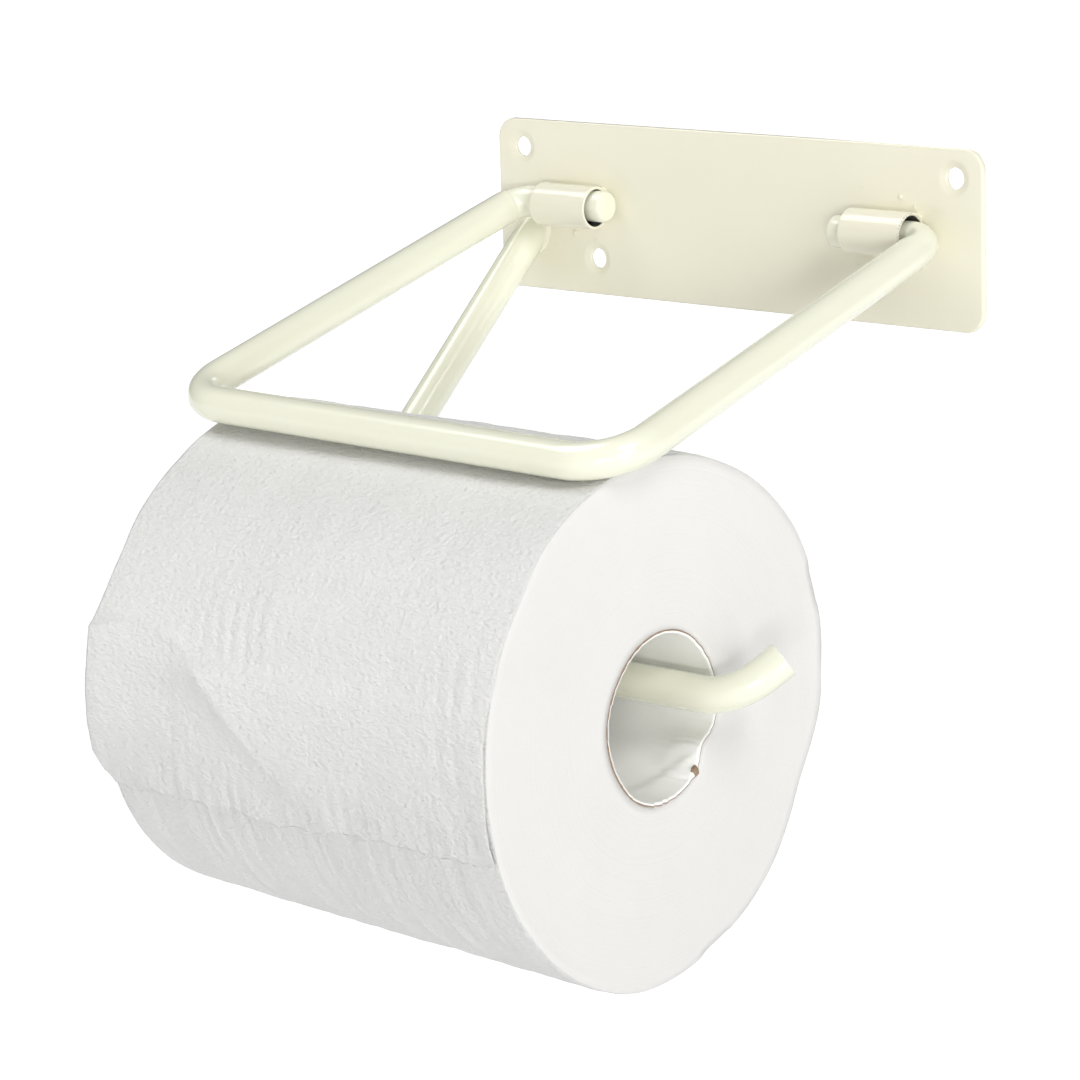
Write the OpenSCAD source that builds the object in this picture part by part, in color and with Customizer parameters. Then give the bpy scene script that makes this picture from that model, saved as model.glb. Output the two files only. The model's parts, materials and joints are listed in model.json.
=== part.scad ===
// Wall-mounted paper roll holder: a small screwed plate with two hinge tubes, a bent rod bail
// that rests on top of the roll, and a bent rod arm whose spindle passes through the roll's core.
// Millimetres. +X right, +Y into the wall, +Z up. Origin: centre of the plate's wall face.

/* [Wall plate] */
// plate width along X
plate_w = 140; // [136:1:170]
// plate height along Z
plate_h = 41; // [38:1:60]
// plate thickness along Y
plate_t = 1.6; // [1.2:0.1:3]
// corner radius of the plate's outline
plate_corner_r = 5; // [1:0.5:8]
// diameter of the four screw holes
hole_d = 4.8; // [3:0.1:6]
// diameter of the countersink at the front face
sink_d = 8.8; // [7:0.1:10]
// depth of the countersink
sink_t = 1.0; // [0.4:0.1:1.1]
// distance between the two upper holes
upper_pitch = 125; // [110:1:128]
// height of the upper holes above the plate's middle
upper_z = 13.8; // [10:0.1:15]
// distance between the two lower holes
lower_pitch = 80; // [60:1:90]
// drop of the lower holes below the plate's middle
lower_z = 11.8; // [10:0.1:15]

/* [Hinge tubes] */
// outer diameter of the hinge tubes
tube_od = 10.2; // [9.8:0.1:13]
// bore of the hinge tubes
tube_id = 8.8; // [8:0.1:9.2]
// length of each hinge tube
tube_l = 16.6; // [10:0.2:17]
// distance of the left tube's middle from the plate's middle
left_tube_x = 43.9; // [41:0.1:45.6]
// distance of the right tube's middle from the plate's middle
right_tube_x = 46.2; // [42:0.1:46.4]
// height of the hinge axis above the plate's middle
hinge_z = 1.3; // [0:0.1:3]
// leg length of the weld fillets
weld_leg = 2.4; // [1:0.1:3]

/* [Bail] */
// diameter of the bent rods
rod_d = 8; // [7:0.1:8]
// diameter of the bail's pins
pin_d = 7.4; // [6.4:0.1:7.6]
// distance of the hinged end of each arm from the middle
arm_x_back = 60; // [60:0.1:62]
// distance of the front corners from the middle
arm_x_front = 61.4; // [60:0.1:64]
// left arm's length from the hinge axis to the front bar's axis
left_arm_l = 116.7; // [116.5:0.1:120]
// right arm's length from the hinge axis to the front bar's axis
right_arm_l = 118.3; // [116.5:0.1:120]
// angle of the left arm below horizontal
left_drop = 14.4; // [10:0.1:14.6]
// angle of the right arm below horizontal
right_drop = 14.8; // [10:0.1:14.8]
// bend radius at the hinged ends, on the rod's axis
pin_bend_r = 6; // [4.5:0.1:6]
// bend radius at the front corners, on the rod's axis
front_bend_r = 12; // [6:0.5:16]
// inner end of the left pin, distance from the middle
pin_end_left = 32.3; // [28:0.1:34]
// inner end of the right pin, distance from the middle
pin_end_right = 33.4; // [28:0.1:36]
// chamfer at the free ends of the rods
rod_chamfer = 0.6; // [0.2:0.1:1]

/* [Support arm] */
// distance of the brace's axis to the left of the middle
brace_x = 59.4; // [59:0.1:61]
// drop of the brace's axis below the plate's middle, at the plate's front
brace_z = 5.8; // [5.5:0.1:7]
// distance of the spindle's axis from the wall
spindle_y = 90.3; // [89:0.1:91]
// drop of the spindle's axis below the plate's middle
spindle_z = 83.4; // [82:0.1:84]
// bend radius between brace and spindle, on the rod's axis
elbow_r = 10; // [8:0.5:12]
// start of the upturned tip's bend, to the right of the middle
tip_x = 58.4; // [58:0.2:64]
// bend radius of the upturned tip, on the rod's axis
tip_bend_r = 14; // [10:0.5:20]
// turn of the upturned tip
tip_turn = 60; // [30:1:80]
// straight length after the tip's bend
tip_l = 5.5; // [2:0.5:15]

/* [Paper roll] */
// distance of the roll's axis from the wall
roll_y = 101.9; // [101.5:0.1:103]
// drop of the roll's axis below the plate's middle
roll_z = 86.1; // [86:0.1:88]
// diameter of the wound paper
roll_d = 111; // [60:0.2:111]
// left end of the roll, distance from the middle
roll_left = 53.4; // [45:0.1:53.6]
// right end of the roll, distance from the middle
roll_right = 56.8; // [45:0.1:57]
// outer diameter of the cardboard core
core_d = 37.2; // [36.8:0.1:45]
// wall of the cardboard core
core_t = 0.8; // [0.4:0.1:1]

/* [Loose sheet] */
// thickness allowed for the loose last sheet
sheet_t = 0.4; // [0.2:0.05:0.45]
// angle of its upper end behind the top, measured from the roll's front
sheet_up = 98; // [40:1:120]
// angle of its free end below the roll's front
sheet_down = 18; // [5:1:60]
// inset of the sheet's side edges from the roll's faces
sheet_inset = 0.3; // [0:0.1:2]

/* [Hidden] */
$fn = 64;
rod_r = rod_d / 2;
pin_r = pin_d / 2;
// the straights run this far into the bends, which are slightly thinner, so that they join cleanly
lap = 0.5;
bend_step = 0.05;
tube_r = tube_od / 2;
hinge_y = -(plate_t + tube_r);
left_corner = [-arm_x_front, hinge_y - left_arm_l * cos(left_drop), hinge_z - left_arm_l * sin(left_drop)];
right_corner = [arm_x_front, hinge_y - right_arm_l * cos(right_drop), hinge_z - right_arm_l * sin(right_drop)];
brace_start = [-brace_x, 0, -brace_z + plate_t * (spindle_z - brace_z) / (spindle_y - plate_t)];
brace_end = [-brace_x, -spindle_y, -spindle_z];
brace_dir = (brace_start - brace_end) / norm(brace_start - brace_end);
tip_tangent = tip_bend_r * tan(tip_turn / 2);
tip_corner = [tip_x + tip_tangent, -spindle_y, -spindle_z];
tip_dir = [cos(tip_turn), 0, 0] + sin(tip_turn) * brace_dir;
tip_end = tip_corner + (tip_tangent + tip_l) * tip_dir;
roll_w = roll_left + roll_right;
paint = [0.93, 0.93, 0.84];
paper = [0.90, 0.90, 0.89];
board = [0.72, 0.66, 0.56];

// ---- bent rods -------------------------------------------------------------------------

function unit(v) = v / norm(v);
function corner_angle(a, b, c) = acos(unit(a - b) * unit(c - b));
function tangent_length(a, b, c, r) = r / tan(corner_angle(a, b, c) / 2);
function trim_at(pts, radii, i) = tangent_length(pts[i - 1], pts[i], pts[i + 1], radii[i]);

module along(a, b) {
  d = b - a;
  translate(a)
    rotate([0, acos(d[2] / norm(d)), atan2(d[1], d[0])])
      children();
}

module rod_straight(a, b, r, cut_a, cut_b) {
  l = norm(b - a);
  along(a, b) {
    translate([0, 0, cut_a])
      cylinder(r = r, h = l - cut_a - cut_b);
    if (cut_a > 0)
      cylinder(r1 = r - cut_a, r2 = r, h = cut_a);
    if (cut_b > 0)
      translate([0, 0, l - cut_b])
        cylinder(r1 = r, r2 = r - cut_b, h = cut_b);
  }
}

module rod_bend(a, b, c, r, bend_r) {
  u = unit(a - b);
  w = unit(c - b);
  half = corner_angle(a, b, c) / 2;
  centre = b + unit(u + w) * bend_r / sin(half);
  start = b + u * bend_r / tan(half);
  e1 = unit(start - centre);
  e2 = -u;
  e3 = cross(e1, e2);
  multmatrix([
    [e1[0], e2[0], e3[0], centre[0]],
    [e1[1], e2[1], e3[1], centre[1]],
    [e1[2], e2[2], e3[2], centre[2]],
    [0, 0, 0, 1]])
    rotate_extrude(angle = 180 - 2 * half)
      translate([bend_r, 0])
        circle(r = r);
}

// pts: corners of the rod's axis; radii: bend radius at each corner; r: rod radius;
// end_r: radius of the first and last straight; cuts: chamfer at both ends
module bent_rod(pts, radii, r, end_r, cuts) {
  last = len(pts) - 1;
  for (i = [0 : last - 1]) {
    d = unit(pts[i + 1] - pts[i]);
    rod_straight(
      pts[i] + d * (i == 0 ? 0 : trim_at(pts, radii, i) - lap),
      pts[i + 1] - d * (i == last - 1 ? 0 : trim_at(pts, radii, i + 1) - lap),
      i == 0 || i == last - 1 ? end_r : r,
      i == 0 ? cuts[0] : 0,
      i == last - 1 ? cuts[1] : 0);
  }
  for (i = [1 : last - 1])
    rod_bend(pts[i - 1], pts[i], pts[i + 1], r - bend_step, radii[i]);
}

// ---- wall plate and hinge tubes ----------------------------------------------------------

module plate_outline() {
  x = plate_w / 2 - plate_corner_r;
  z = plate_h / 2 - plate_corner_r;
  square([plate_w, 2 * z], center = true);
  square([2 * x, plate_h], center = true);
  for (sx = [-1, 1], sz = [-1, 1])
    translate([sx * x, sz * z])
      circle(r = plate_corner_r);
}

module screw_hole(x, z) {
  translate([x, 0, z])
    rotate([90, 0, 0]) {
      translate([0, 0, -1])
        cylinder(d = hole_d, h = plate_t + 2);
      translate([0, 0, plate_t - sink_t])
        cylinder(r1 = hole_d / 2, r2 = sink_d / 2, h = sink_t);
      translate([0, 0, plate_t])
        cylinder(d = sink_d, h = 1);
    }
}

module wall_plate() {
  color(paint)
    difference() {
      rotate([90, 0, 0])
        linear_extrude(height = plate_t)
          plate_outline();
      for (s = [-1, 1]) {
        screw_hole(s * upper_pitch / 2, upper_z);
        screw_hole(s * lower_pitch / 2, -lower_z);
      }
    }
}

module hinge_tube(x) {
  color(paint)
    translate([x - tube_l / 2, hinge_y, hinge_z])
      rotate([0, 90, 0])
        difference() {
          cylinder(d = tube_od, h = tube_l);
          translate([0, 0, -1])
            cylinder(d = tube_id, h = tube_l + 2);
        }
}

module left_hinge_tube() {
  hinge_tube(-left_tube_x);
}

module right_hinge_tube() {
  hinge_tube(right_tube_x);
}

// fillet weld in the corner between the tube's underside and the plate
module tube_weld(x) {
  l = tube_l - 3;
  color(paint)
    difference() {
      translate([x - l / 2, 0, 0])
        rotate([90, 0, 90])
          linear_extrude(height = l)
            polygon([
              [-plate_t, hinge_z],
              [hinge_y, hinge_z],
              [hinge_y, hinge_z - tube_r],
              [-plate_t - weld_leg / 3, hinge_z - tube_r - weld_leg / 3],
              [-plate_t, hinge_z - tube_r - weld_leg]]);
      translate([x - tube_l, hinge_y, hinge_z])
        rotate([0, 90, 0])
          cylinder(d = tube_od, h = 2 * tube_l);
    }
}

module left_tube_weld() {
  tube_weld(-left_tube_x);
}

module right_tube_weld() {
  tube_weld(right_tube_x);
}

// ---- bail ----------------------------------------------------------------------------------

module bail() {
  color(paint)
    bent_rod(
      [
        [-pin_end_left, hinge_y, hinge_z],
        [-arm_x_back, hinge_y, hinge_z],
        left_corner,
        right_corner,
        [arm_x_back, hinge_y, hinge_z],
        [pin_end_right, hinge_y, hinge_z]
      ],
      [0, pin_bend_r, front_bend_r, front_bend_r, pin_bend_r, 0],
      rod_r,
      pin_r,
      [rod_chamfer, rod_chamfer]);
}

// ---- support arm -----------------------------------------------------------------------------

module support_arm() {
  color(paint)
    difference() {
      bent_rod(
        [brace_start + 6 * brace_dir, brace_end, tip_corner, tip_end],
        [0, elbow_r, tip_bend_r, 0],
        rod_r,
        rod_r,
        [0, 0]);
      translate([-brace_x - 20, -plate_t, -40])
        cube([40, 40, 60]);
    }
}

// collar of weld around the brace's foot
module arm_weld() {
  foot = brace_start + (brace_end - brace_start) * plate_t / spindle_y;
  color(paint)
    difference() {
      intersection() {
        translate(foot)
          rotate([90, 0, 0])
            cylinder(r1 = rod_r + weld_leg, r2 = rod_r + 0.4, h = weld_leg + 0.6);
        translate([-brace_x - 20, -plate_t - 20, foot[2] - rod_r - weld_leg])
          cube([40, 20, rod_r * 2 + weld_leg]);
      }
      along(brace_start + 10 * brace_dir, brace_end)
        cylinder(r = rod_r, h = 60);
    }
}

// ---- paper roll --------------------------------------------------------------------------------

module on_roll_axis() {
  translate([-roll_left, -roll_y, -roll_z])
    rotate([90, 0, 90])
      children();
}

module ring(ro, ri, l) {
  difference() {
    cylinder(r = ro, h = l);
    translate([0, 0, -1])
      cylinder(r = ri, h = l + 2);
  }
}

module roll_core() {
  color(board)
    on_roll_axis()
      ring(core_d / 2, core_d / 2 - core_t, roll_w, $fn = 128);
}

module paper_roll() {
  color(paper)
    on_roll_axis()
      ring(roll_d / 2, core_d / 2, roll_w, $fn = 128);
}

module loose_sheet() {
  color(paper)
    on_roll_axis()
      translate([0, 0, sheet_inset])
        rotate([0, 0, 180 - sheet_up])
          rotate_extrude(angle = sheet_up + sheet_down, $fn = 128)
            translate([roll_d / 2, 0])
              square([sheet_t, roll_w - 2 * sheet_inset]);
}

wall_plate();
left_hinge_tube();
right_hinge_tube();
left_tube_weld();
right_tube_weld();
arm_weld();
support_arm();
bail();
roll_core();
paper_roll();
loose_sheet();
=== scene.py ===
"""Visual model of the wall-mounted roll holder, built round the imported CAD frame.

Shapes are worked out in millimetres in the row frame (+X right, +Y into the wall, +Z up) and
scaled to metres when a mesh is made. Angles on the roll are in degrees from its front (-Y),
positive downwards.
"""
import json
import math

import bmesh
import bpy
import numpy as np
from mathutils import Matrix, Vector
from mathutils.geometry import delaunay_2d_cdt

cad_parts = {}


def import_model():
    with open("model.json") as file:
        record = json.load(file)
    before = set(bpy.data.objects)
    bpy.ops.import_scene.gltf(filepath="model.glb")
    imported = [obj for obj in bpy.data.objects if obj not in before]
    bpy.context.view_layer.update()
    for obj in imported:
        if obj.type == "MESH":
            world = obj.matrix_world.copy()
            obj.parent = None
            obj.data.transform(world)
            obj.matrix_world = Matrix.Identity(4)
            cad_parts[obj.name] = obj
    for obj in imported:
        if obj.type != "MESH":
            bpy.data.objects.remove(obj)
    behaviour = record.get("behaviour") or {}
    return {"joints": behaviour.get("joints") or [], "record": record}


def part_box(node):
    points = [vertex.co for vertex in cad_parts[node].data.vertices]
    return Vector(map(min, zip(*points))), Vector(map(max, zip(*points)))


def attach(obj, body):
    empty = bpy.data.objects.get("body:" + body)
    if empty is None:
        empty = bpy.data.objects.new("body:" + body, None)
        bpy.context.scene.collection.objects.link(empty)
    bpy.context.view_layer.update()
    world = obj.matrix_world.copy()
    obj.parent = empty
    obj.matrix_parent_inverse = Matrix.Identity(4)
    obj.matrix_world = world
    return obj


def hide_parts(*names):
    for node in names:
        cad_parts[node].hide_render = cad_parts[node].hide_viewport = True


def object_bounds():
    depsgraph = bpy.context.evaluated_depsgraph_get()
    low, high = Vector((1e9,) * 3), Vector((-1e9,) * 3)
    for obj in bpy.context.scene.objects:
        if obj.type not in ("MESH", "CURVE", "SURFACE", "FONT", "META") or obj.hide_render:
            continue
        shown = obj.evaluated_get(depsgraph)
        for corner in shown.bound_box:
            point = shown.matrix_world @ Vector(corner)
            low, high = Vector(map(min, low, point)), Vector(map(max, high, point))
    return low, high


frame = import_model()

MM = 0.001
cad_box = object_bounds()


def box_mm(node):
    low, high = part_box(node)
    return np.array(low) / MM, np.array(high) / MM


JOINTS = {j["name"]: j for j in frame["joints"]}
HINGE = np.array(JOINTS["bail_hinge"]["pos_m"]) / MM
AXIS = np.array(JOINTS["roll_spin"]["pos_m"]) / MM


# ---- mesh helpers ------------------------------------------------------------------------


def quad_grid(rows, cols, wrap_rows=False, wrap_cols=False, first=0):
    """Faces of a grid of points stored row by row."""
    i = np.arange(rows if wrap_rows else rows - 1)
    j = np.arange(cols if wrap_cols else cols - 1)
    ii, jj = (g.ravel() for g in np.meshgrid(i, j, indexing="ij"))
    down, side = (ii + 1) % rows, (jj + 1) % cols
    return first + np.stack(
        [ii * cols + jj, ii * cols + side, down * cols + side, down * cols + jj], 1)


def outward(verts, quads):
    """The same quads, turned over if they face into the closed mesh that they make."""
    a, b, c, d = (verts[quads[:, k]] for k in range(4))
    volume = (a * np.cross(b, c)).sum() + (a * np.cross(c, d)).sum()
    return quads if volume > 0 else quads[:, ::-1]


def capped_tube(rows):
    """Points and outward faces of a tube, closed by one face at each end."""
    count, cols = rows.shape[:2]
    verts = rows.reshape(-1, 3)
    plain = quad_grid(count, cols, wrap_cols=True)
    quads = outward(verts, plain)
    first, last = list(range(cols)), list(range((count - 1) * cols, count * cols))
    (first if quads is plain else last).reverse()
    return verts, quads.tolist() + [first, last]


def closed_grid(rows):
    """Points and outward faces of a grid that closes both ways, and the column of each face."""
    count, cols = rows.shape[:2]
    verts = rows.reshape(-1, 3)
    quads = outward(verts, quad_grid(count, cols, True, True))
    return verts, quads, np.tile(np.arange(cols), count)


def add_object(name, data):
    obj = bpy.data.objects.new(name, data)
    bpy.context.scene.collection.objects.link(obj)
    return obj


def add_mesh(name, verts, faces, materials, slots=None):
    """An object in metres from points in millimetres. slots: a material number for each face."""
    mesh = bpy.data.meshes.new(name)
    faces = faces.tolist() if hasattr(faces, "tolist") else faces
    mesh.from_pydata((np.asarray(verts, float) * MM).tolist(), [], faces)
    for m in materials:
        mesh.materials.append(m)
    mesh.polygons.foreach_set("use_smooth", [True] * len(mesh.polygons))
    if slots is not None:
        mesh.polygons.foreach_set("material_index", np.asarray(slots, np.int32))
    mesh.update()
    return add_object(name, mesh)


def finished(obj, body, slot, *nodes):
    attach(obj, body)
    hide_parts(*nodes)


def merge_doubles(obj):
    """Join points that fell on each other, and drop the faces that this flattens."""
    bm = bmesh.new()
    bm.from_mesh(obj.data)
    bmesh.ops.remove_doubles(bm, verts=bm.verts, dist=2e-6)
    bmesh.ops.dissolve_degenerate(bm, edges=bm.edges, dist=1e-7)
    bmesh.ops.recalc_face_normals(bm, faces=bm.faces)
    bm.to_mesh(obj.data)
    bm.free()


def xyz(x, y, z):
    return np.stack(np.broadcast_arrays(x, y, z), -1)


def smooth_step(low, high, x):
    """0 at low and 1 at high, smoothly; low may be the larger."""
    t = np.clip((x - low) / (high - low), 0, 1)
    return t * t * (3 - 2 * t)


def bump_at(x, centre, width):
    """A bell of height 1."""
    return np.exp(-(((x - centre) / width) ** 2))


def ripple_noise(u, v, cell_u, cell_v, seed, period=0):
    """Smooth noise from -1 to 1. period is the number of cells after which u repeats."""
    table = np.random.default_rng(seed).uniform(-1, 1, (256, 256))
    gu, gv = u / cell_u, v / cell_v
    iu, iv = np.floor(gu).astype(int), np.floor(gv).astype(int)
    fu, fv = gu - iu, gv - iv
    fu, fv = fu ** 3 * (fu * (6 * fu - 15) + 10), fv ** 3 * (fv * (6 * fv - 15) + 10)

    def at(a, b):
        return table[(a % period if period else a) % 256, b % 256]

    near = at(iu, iv) * (1 - fu) + at(iu + 1, iv) * fu
    far = at(iu, iv + 1) * (1 - fu) + at(iu + 1, iv + 1) * fu
    return near * (1 - fv) + far * fv


def line_noise(u, cell, seed, period=0):
    return ripple_noise(u, 0 * u, cell, 1, seed, period)


# ---- materials ---------------------------------------------------------------------------


class Nodes:
    """A short way to write a node tree."""

    def __init__(self, name):
        self.material = bpy.data.materials.new(name)
        self.material.use_nodes = True
        self.tree = self.material.node_tree
        self.shader = self.tree.nodes["Principled BSDF"]

    def add(self, kind, **values):
        n = self.tree.nodes.new(kind)
        for key, value in values.items():
            if hasattr(n, key):
                setattr(n, key, value)
            else:
                n.inputs[key.replace("_", " ")].default_value = value
        return n

    def link(self, a, b):
        self.tree.links.new(a, b)

    def place(self):
        return self.add("ShaderNodeTexCoord").outputs["Object"]

    def stretched(self, scale, turn=(0, 0, 0)):
        n = self.add("ShaderNodeMapping", Scale=scale, Rotation=turn)
        self.link(self.place(), n.inputs["Vector"])
        return n.outputs["Vector"]

    def noise(self, scale, detail=2.0, rough=0.5, vector=None):
        n = self.add("ShaderNodeTexNoise", Scale=scale, Detail=detail, Roughness=rough)
        self.link(vector or self.place(), n.inputs["Vector"])
        return n.outputs["Fac"]

    def noise_along(self, value, scale, detail):
        n = self.add("ShaderNodeTexNoise", noise_dimensions="1D", Scale=scale, Detail=detail)
        self.link(value, n.inputs["W"])
        return n.outputs["Fac"]

    def vector(self, operation, source, value=(0, 0, 0)):
        n = self.add("ShaderNodeVectorMath", operation=operation)
        n.inputs[1].default_value = value
        self.link(source, n.inputs[0])
        return n

    def math(self, operation, a, b):
        n = self.add("ShaderNodeMath", operation=operation)
        for k, v in enumerate((a, b)):
            if isinstance(v, (int, float)):
                n.inputs[k].default_value = v
            else:
                self.link(v, n.inputs[k])
        return n.outputs[0]

    def span(self, fac, low, high, out_low=0.0, out_high=1.0):
        n = self.add("ShaderNodeMapRange", From_Min=low, From_Max=high, To_Min=out_low,
                     To_Max=out_high)
        self.link(fac, n.inputs["Value"])
        return n.outputs["Result"]

    def mix(self, fac, a, b):
        n = self.add("ShaderNodeMix", data_type="RGBA")
        self.link(fac, n.inputs["Factor"])
        for socket, v in (("A", a), ("B", b)):
            s = next(i for i in n.inputs if i.name == socket and i.type == "RGBA")
            if isinstance(v, tuple):
                s.default_value = (*v, 1)
            else:
                self.link(v, s)
        return next(o for o in n.outputs if o.type == "RGBA")

    def colour(self, out):
        self.link(out, self.shader.inputs["Base Color"])

    def roughness(self, out):
        self.link(out, self.shader.inputs["Roughness"])

    def bump(self, *layers):
        """layers: (height, distance in metres, strength), stacked."""
        last = None
        for height, distance, strength in layers:
            n = self.add("ShaderNodeBump", Distance=distance, Strength=strength)
            self.link(height, n.inputs["Height"])
            if last is not None:
                self.link(last, n.inputs["Normal"])
            last = n.outputs["Normal"]
        self.link(last, self.shader.inputs["Normal"])

    def set(self, **values):
        for key, value in values.items():
            self.shader.inputs[key.replace("_", " ")].default_value = value


# the paint on the plate and on the rods, each with a second tone, and its small thin spots; the
# rods' tones are greener than the plate's as painted reflection of the light that the glossy rods
# catch
CREAM = (0.866, 0.841, 0.689)
CREAM_WARM = (0.851, 0.820, 0.665)
CREAM_ROD_PAINTED_LIGHT = (0.850, 0.854, 0.705)
CREAM_ROD_WARM_PAINTED_LIGHT = (0.840, 0.836, 0.680)
CREAM_THIN = (0.76, 0.72, 0.57)
STEEL = (0.30, 0.29, 0.27)
KRAFT = (0.37, 0.26, 0.18), (0.24, 0.16, 0.10)
LINER = (0.95, 0.95, 0.92), (0.92, 0.92, 0.89)
# near-black steel inside the hinge tubes: the unpainted bore, darkened further as painted shade
# for the gap round the pins
BARE_STEEL_AND_BORE_SHADE = (0.10, 0.10, 0.095), (0.05, 0.05, 0.05)


def cream_paint(name, tone_a, tone_b, bare_from=None, bare_to=None):
    """Sprayed and baked paint. Between two values of x, in metres, it is chipped to the steel."""
    n = Nodes(name)
    n.set(IOR=1.5, Coat_Weight=0.5, Coat_Roughness=0.07)
    tone = n.mix(n.span(n.noise(30, 2.0), 0.3, 0.75), tone_a, tone_b)
    fleck = n.span(n.noise(1300, 2.0), 0.70, 0.80)
    tone = n.mix(n.math("MULTIPLY", fleck, 0.15), tone, CREAM_THIN)
    rough = n.span(n.noise(160, 2.0), 0.3, 0.7, 0.20, 0.26)
    if bare_from is not None:
        split = n.add("ShaderNodeSeparateXYZ")
        n.link(n.place(), split.inputs[0])
        rim = n.span(split.outputs["X"], bare_from, bare_to)
        chips = n.span(n.noise(3600, 3.0, 0.7), 0.47, 0.56, 0.0, 0.8)
        bare = n.math("MULTIPLY", rim, chips)
        tone = n.mix(bare, tone, STEEL)
        rough = n.span(bare, 0, 1, 0.32, 0.5)
    n.colour(tone)
    n.roughness(rough)
    n.bump((n.noise(420, 1.0), 0.00002, 0.30), (n.noise(60, 0.0), 0.00006, 0.25))
    return n.material


# the tissue round the roll and at its ends, each with a deeper tone
TISSUE = (0.766, 0.766, 0.750)
TISSUE_DEEP = (0.690, 0.690, 0.674)
TISSUE_FACE = (0.790, 0.782, 0.763)
TISSUE_FACE_DEEP = (0.756, 0.746, 0.723)


def tissue(name, emboss, fibre):
    """Soft tissue. emboss and fibre scale its fine dimples and its matted grain."""
    n = Nodes(name)
    n.set(Sheen_Weight=0.12, Sheen_Roughness=0.6, IOR=1.35)
    cells = n.add("ShaderNodeTexVoronoi", feature="SMOOTH_F1", Scale=620.0, Smoothness=0.6)
    n.link(n.stretched((1.0, 1.0, 1.0)), cells.inputs["Vector"])
    fuzz = n.noise(2600, 3.0, 0.65)
    cloud = n.noise(55, 3.0)
    dips = n.span(cells.outputs["Distance"], 0.05, 0.75)
    shade = n.math("MULTIPLY", n.span(fuzz, 0.3, 0.75), n.span(cloud, 0.25, 0.8, 0.35, 1.0))
    n.colour(n.mix(shade, TISSUE, TISSUE_DEEP))
    n.roughness(n.span(fuzz, 0.3, 0.7, 0.86, 0.97))
    streak = n.noise(300, 2.0, 0.5, n.stretched((3.2, 0.5, 0.5)))
    grain = n.noise(1500, 2.0, 0.6, n.stretched((0.6, 1.0, 1.0)))
    n.bump((streak, 0.00010, 0.5), (dips, 0.00018 * emboss, 0.8),
           (grain, 0.00042 * fibre, 0.9), (fuzz, 0.00010 * fibre, 0.7))
    return n.material


def roll_face(name):
    """The roll's ends: the edges of the wound layers, seen as faint fine rings."""
    n = Nodes(name)
    n.set(IOR=1.35, Sheen_Weight=0.08)
    off = n.vector("SUBTRACT", n.place(), Vector(AXIS * MM))
    flat = n.vector("MULTIPLY", off.outputs[0], (0, 1, 1))
    far = n.vector("LENGTH", flat.outputs[0])
    wander = n.math("MULTIPLY", n.noise(60, 2.0), 0.0012)
    radius = n.math("ADD", far.outputs["Value"], wander)
    rings, broad = n.noise_along(radius, 2300.0, 3.0), n.noise_along(radius, 240.0, 2.0)
    fuzz = n.noise(2400, 3.0, 0.65)
    cloud = n.noise(75, 3.0)
    shade = n.math("MULTIPLY", n.span(rings, 0.3, 0.75), n.span(cloud, 0.3, 0.75, 0.25, 0.9))
    n.colour(n.mix(shade, TISSUE_FACE, TISSUE_FACE_DEEP))
    n.roughness(n.span(fuzz, 0.3, 0.7, 0.85, 0.97))
    n.bump((rings, 0.00005, 0.5), (broad, 0.00008, 0.4), (fuzz, 0.00012, 0.7))
    return n.material


def fibrous(name, light, dark, scale):
    """A dull surface with fine streaks, such as paper board."""
    n = Nodes(name)
    fibres = n.noise(scale, 4.0, 0.7, n.stretched((1.0, 0.35, 0.35), (0, 0, 0.5)))
    patches = n.noise(120, 2.0)
    n.colour(n.mix(n.math("MULTIPLY", n.span(fibres, 0.3, 0.7), n.span(patches, 0.2, 0.8)),
                   light, dark))
    n.roughness(n.span(fibres, 0.3, 0.7, 0.7, 0.9))
    n.bump((fibres, 0.00008, 0.5))
    return n.material


paint = cream_paint("cream_paint", CREAM, CREAM_WARM)
# the rods' copy of the same paint, its tone shifted to paint in the reflections that the glossy
# rods catch
rod_paint_painted_light = cream_paint("cream_paint_rod_painted_light", CREAM_ROD_PAINTED_LIGHT, CREAM_ROD_WARM_PAINTED_LIGHT)
tissue_taut = tissue("tissue_wound", 0.9, 1.2)
tissue_soft = tissue("tissue_sheet", 1.1, 1.3)
face_paper = roll_face("tissue_roll_end")
kraft = fibrous("kraft_edge", *KRAFT, 700)
liner = fibrous("core_liner", *LINER, 350)
# the tubes' bores: bare steel, made near black so that it also paints the shade deep inside them
bare = fibrous("bare_steel_and_bore_shade", *BARE_STEEL_AND_BORE_SHADE, 900)


# ---- bent rods ---------------------------------------------------------------------------

ROD_R = 4.0
ROD_SIDES = 44
BEND_FLATTEN = 0.035
BEND_STEP = math.radians(4)
STRAIGHT_STEP = 3.0
# where a thinner end grows to the full radius, measured from where its bend starts, and how
# far past that the ends can still matter
NECK_FROM, NECK_TO, NECK_PAST = -0.2, 2.4, 6


def unit(v):
    return v / np.linalg.norm(v)


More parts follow.
